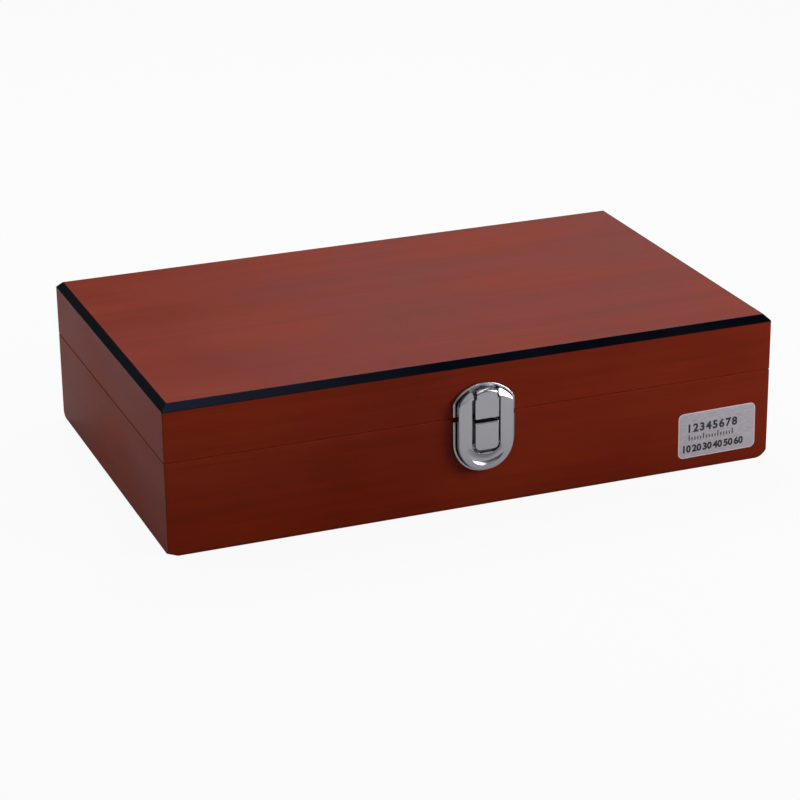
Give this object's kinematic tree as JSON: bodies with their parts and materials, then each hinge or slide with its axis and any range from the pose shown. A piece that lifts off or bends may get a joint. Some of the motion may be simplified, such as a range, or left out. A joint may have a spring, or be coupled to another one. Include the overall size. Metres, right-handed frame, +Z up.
{
  "type": "hinged wooden gauge box",
  "caption": "Flat lacquered wooden case with a hinged lid, a draw latch and a drilled rack that holds slim steel pin gauges upright.",
  "frame": {"origin": "centre of the underside of the bottom panel", "axes": "+X to the right along the longest side, +Y to the back where the hinges are, +Z up; the latch is on the -Y side"},
  "size_m": [0.275, 0.1766, 0.067],
  "materials": {
    "cherry_lacquer": "cherry-red stained veneer under satin lacquer",
    "black_lacquer": "black painted and lacquered bevelled edging",
    "latch_chrome": "bright chrome plate on pressed steel and die-cast zinc",
    "nickel_steel": "nickel plate",
    "gauge_steel": "hardened and ground, light oil",
    "rack_wood": "plain drilled hardwood",
    "scale_plate": "white sheet plastic with printed sizes",
    "foam": "dark open-cell foam sheet",
    "label_paper": "silver-grey coated paper with a printed scale"
  },
  "bodies": {
    "base": {"base_front_wall": "cherry_lacquer", "base_back_wall": "cherry_lacquer", "base_left_wall": "cherry_lacquer", "base_right_wall": "cherry_lacquer", "base_bottom_panel": "cherry_lacquer", "rack_block": "rack_wood", "rack_scale_plate": "scale_plate", "gauge_pins_row_1": "gauge_steel", "gauge_pins_row_2": "gauge_steel", "gauge_pins_row_3": "gauge_steel", "gauge_pins_row_4": "gauge_steel", "gauge_pins_row_5": "gauge_steel", "size_label": "label_paper", "latch_base_plate": "latch_chrome", "latch_base_screws": "nickel_steel", "latch_link_pin": "nickel_steel", "hinge_left_base_leaf": "nickel_steel", "hinge_left_pin": "nickel_steel", "hinge_right_base_leaf": "nickel_steel", "hinge_right_pin": "nickel_steel", "hinge_base_screws": "nickel_steel"},
    "lid": {"lid_front_wall": "cherry_lacquer", "lid_back_wall": "cherry_lacquer", "lid_left_wall": "cherry_lacquer", "lid_right_wall": "cherry_lacquer", "lid_top_panel": "cherry_lacquer", "lid_front_edging": "black_lacquer", "lid_back_edging": "black_lacquer", "lid_left_edging": "black_lacquer", "lid_right_edging": "black_lacquer", "lid_foam_pad": "foam", "latch_lid_plate": "latch_chrome", "latch_lid_screws": "nickel_steel", "hinge_left_lid_leaf": "nickel_steel", "hinge_right_lid_leaf": "nickel_steel", "hinge_lid_screws": "nickel_steel"},
    "latch_link": {"latch_link": "latch_chrome", "latch_frame_pin": "nickel_steel"},
    "latch_frame": {"latch_frame": "latch_chrome"}
  },
  "joints": [
    {"name": "lid_hinge", "type": "hinge", "parent": "base", "child": "lid", "pos_m": [0, 0.0856, 0.042], "axis": [-1, 0, 0], "range_deg": [0, 99]},
    {"name": "latch_link_swing", "type": "hinge", "parent": "base", "child": "latch_link", "pos_m": [0.0016, -0.0863, 0.0385], "axis": [-1, 0, 0], "range_deg": [0, 90]},
    {"name": "latch_frame_swing", "type": "hinge", "parent": "latch_link", "child": "latch_frame", "pos_m": [0.0016, -0.0863, 0.0298], "axis": [-1, 0, 0], "range_deg": [-76.5, 0]}
  ],
  "couplings": [
    {"joint": "latch_frame_swing", "follows": "latch_link_swing", "ratio": -0.85}
  ]
}
